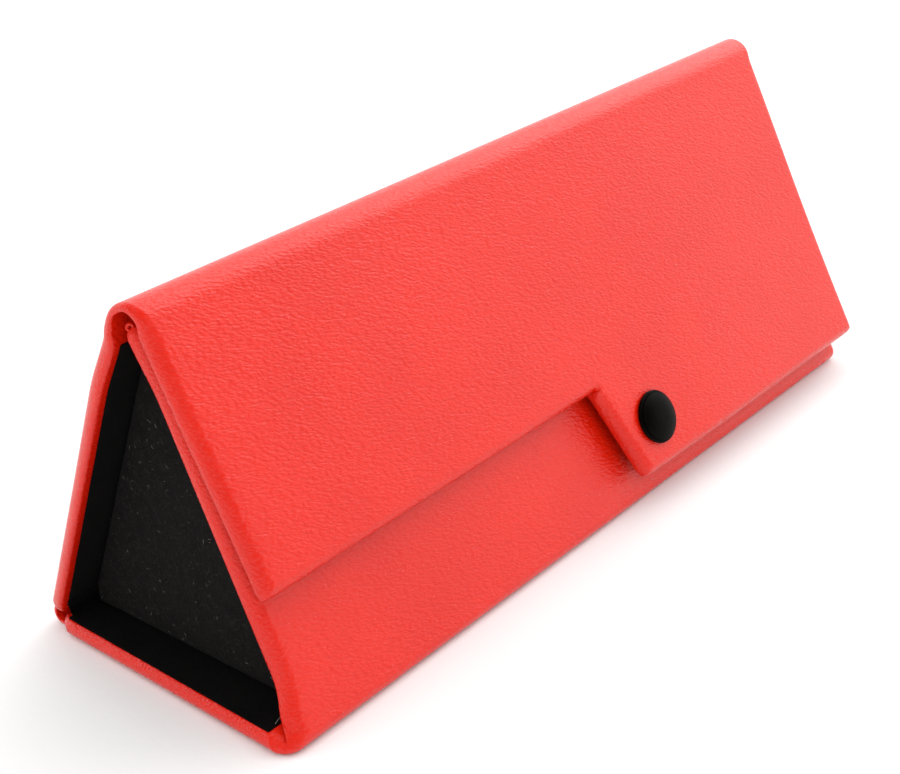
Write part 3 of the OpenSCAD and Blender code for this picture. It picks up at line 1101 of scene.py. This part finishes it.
# ---------------------------------------------------------------- press stud and small details
def snap_cap(lacquer):
    """The cap, turned: a curled rim and a low dome with a flattened crown."""
    curl_x = CAP_R - CAP_CURL_R
    curl = np.linspace(-1.4, 1.9, 14)
    profile = [(0.0, 0.05), (CAP_R - 0.5, 0.05)]
    profile += [(curl_x + CAP_CURL_R * math.cos(a), 0.42 + 0.40 * math.sin(a)) for a in curl]
    for share in np.linspace(0.90, 0.0, 22):
        profile.append((CAP_R * share, CAP_RIM_H + CAP_DOME_H * (1 - share**2.6)))
    sides = 128
    turn = np.linspace(0, 2 * math.pi, sides, endpoint=False)
    ring_starts, points, faces = [], [], []
    for radius, height in profile:
        ring_starts.append(len(points))
        if radius < TINY:
            points.append((SNAP_X, SNAP_V, height))
            continue
        points += [(SNAP_X + radius * math.cos(a), SNAP_V + radius * math.sin(a), height) for a in turn]
    for i in range(len(profile) - 1):
        a, b = ring_starts[i], ring_starts[i + 1]
        for k in range(sides):
            k2 = (k + 1) % sides
            if profile[i][0] < TINY:
                faces.append([a, b + k2, b + k][::-1])
            elif profile[i + 1][0] < TINY:
                faces.append([a + k, a + k2, b])
            else:
                faces.append([a + k, a + k2, b + k2, b + k])
    points = np.array(points)
    placed = FLAP.at(points[:, 1], points[:, 2] + flap_bow(points[:, 0], points[:, 1]))
    cap = make_object("snap_cap_dome", np.column_stack([points[:, 0], placed]), faces, lacquer)
    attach(cap, "flap")
    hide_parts("snap_cap")


def corner_ear(side, leather):
    """The little folded ear of leather at the end of the front's free edge."""
    turn = np.linspace(-0.6, 4.4, 22)
    out = FRONT_TOP_SKEW if side < 0 else 0.0
    x = side * (HALF_LEN + out - 0.8 - 0.25 * np.cos(turn))
    v = FRONT_TOP_V + FRONT_TOP_RAISE - 0.3 + 0.5 * np.sin(turn)
    w = -2.1 + 0.45 * np.cos(turn)
    points, faces = tube(np.column_stack([x, FRONT.at(v, w)]), EAR_T, sides=12)
    ear = make_object("left_front_ear" if side < 0 else "right_front_ear", points, faces, leather)
    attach(ear, "front")


def stray_hair(lint):
    """A pale hair caught between the base and the front, at the left end."""
    share = np.linspace(0, 1, 12)
    x = HAIR_FROM[0] + 3.2 * share
    y = HAIR_FROM[1] - 0.3 * share
    z = HAIR_FROM[2] + 1.0 * share + 0.35 * np.sin(math.pi * share)
    points, faces = tube(np.column_stack([x, y, z]), 0.035, sides=5)
    hair = make_object("stray_hair", points, faces, lint)
    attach(hair, "base")


def cad_finishes(nodes, board, lacquer, steel):
    """Materials for the CAD nodes that show as they are."""
    finishes = {
        "bottom_board": board,
        "back_board": board,
        "front_board": board,
        "flap_board": board,
        "left_end_board": board,
        "right_end_board": board,
        "snap_socket": lacquer,
        "snap_stud": lacquer,
        "snap_post": lacquer,
        "snap_spring": steel,
    }
    for node, material in finishes.items():
        mesh = nodes[node].data
        mesh.materials.clear()
        mesh.materials.append(material)
        if material is not board:
            mesh.shade_smooth()
            mesh.set_sharp_from_angle(angle=math.radians(35))


# ---------------------------------------------------------------- stage
def floor():
    """Plain white paper, just under the case."""
    material, tree, shader = new_material("floor_paper", (0.78, 0.78, 0.78), 0.75, Specular_IOR_Level=0.2)
    place = object_place(tree)
    fine = noise_value(tree, place, 900.0, detail=2.0)
    tree.links.new(bump(tree, fine, 0.0002, 0.15), shader.inputs["Normal"])
    tree.links.new(
        mix_colors(tree, noise_value(tree, place, 8.0), (0.765, 0.76, 0.755), (0.80, 0.80, 0.80)),
        shader.inputs["Base Color"],
    )
    bpy.ops.mesh.primitive_grid_add(x_subdivisions=8, y_subdivisions=8, size=6, location=(0, 0, -0.00002))
    ground = bpy.context.object
    ground.name = "floor"
    ground.data.materials.append(material)


def studio_world():
    """White surroundings, whose reflections are dark on the side where the photographer stands."""
    world = bpy.data.worlds.new("studio")
    bpy.context.scene.world = world
    world.use_nodes = True
    tree = world.node_tree
    tree.nodes.clear()
    direction = add_node(tree, "ShaderNodeTexCoord").outputs["Generated"]
    to_dark = Vector(DARK_SIDE).normalized()
    facing = add_node(
        tree, "ShaderNodeVectorMath", {0: direction, 1: to_dark}, operation="DOT_PRODUCT"
    ).outputs["Value"]
    dark = add_node(
        tree,
        "ShaderNodeMapRange",
        {"Value": facing, "From Min": math.cos(DARK_TO), "From Max": math.cos(DARK_FROM)},
        interpolation_type="SMOOTHSTEP",
    ).outputs["Result"]
    glossy = add_node(tree, "ShaderNodeLightPath").outputs["Is Glossy Ray"]
    lit = math_node(tree, "MULTIPLY", dark, glossy)
    colour = mix_colors(tree, lit, (1.0, 1.0, 1.0), (0.0, 0.0, 0.0))
    background = add_node(tree, "ShaderNodeBackground", {"Color": colour, "Strength": WORLD_STRENGTH})
    output = add_node(tree, "ShaderNodeOutputWorld")
    tree.links.new(background.outputs["Background"], output.inputs["Surface"])


def area_light(name, at, target, size, power):
    """A soft rectangular light that faces the target."""
    data = bpy.data.lights.new(name, "AREA")
    data.shape = "RECTANGLE"
    data.size, data.size_y = size
    data.energy = power
    light = bpy.data.objects.new(name, data)
    light.location = at
    light.rotation_euler = (Vector(target) - Vector(at)).to_track_quat("-Z", "Y").to_euler()
    bpy.context.scene.collection.objects.link(light)


def camera():
    """The camera at the photo's angle."""
    data = bpy.data.cameras.new("photo_camera")
    data.lens = CAMERA_LENS
    data.shift_x, data.shift_y = CAMERA_SHIFT
    data.clip_start = 0.01
    data.clip_end = 50
    cam = bpy.data.objects.new("photo_camera", data)
    cam.location = CAMERA_AT
    cam.rotation_euler = [math.radians(a) for a in CAMERA_TURN_DEG]
    bpy.context.scene.collection.objects.link(cam)
    bpy.context.scene.camera = cam


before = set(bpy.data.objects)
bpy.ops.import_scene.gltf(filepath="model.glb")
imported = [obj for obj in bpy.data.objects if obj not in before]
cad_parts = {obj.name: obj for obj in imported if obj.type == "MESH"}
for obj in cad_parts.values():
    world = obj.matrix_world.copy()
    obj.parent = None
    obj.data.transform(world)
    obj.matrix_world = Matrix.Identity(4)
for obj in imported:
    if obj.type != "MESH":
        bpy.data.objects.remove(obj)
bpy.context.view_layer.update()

leather = red_leather()
velvet = black_velvet()
felt = black_felt()
back_cover(leather)
bottom_cover(leather)
front_cover(leather)
flap_cover(leather)
front_corner(leather)
back_corner(leather)
top_fold(leather)
linings(velvet)
lint = fibre_material("pale_lint", (0.24, 0.22, 0.2))
end_panels(felt, fibre_material("felt_fibre", (0.035, 0.031, 0.028)), lint)
stray_hair(fibre_material("pale_hair", (0.45, 0.42, 0.38)))
end_tabs(felt)
lacquer = black_lacquer()
snap_cap(lacquer)
for side in (-1, 1):
    corner_ear(side, leather)
cad_finishes(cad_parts, grey_board(), lacquer, spring_steel())

bpy.context.scene.view_settings.view_transform = "Standard"
studio_world()
floor()
area_light("key", KEY_AT, KEY_TO, KEY_SIZE, KEY_POWER)
camera()
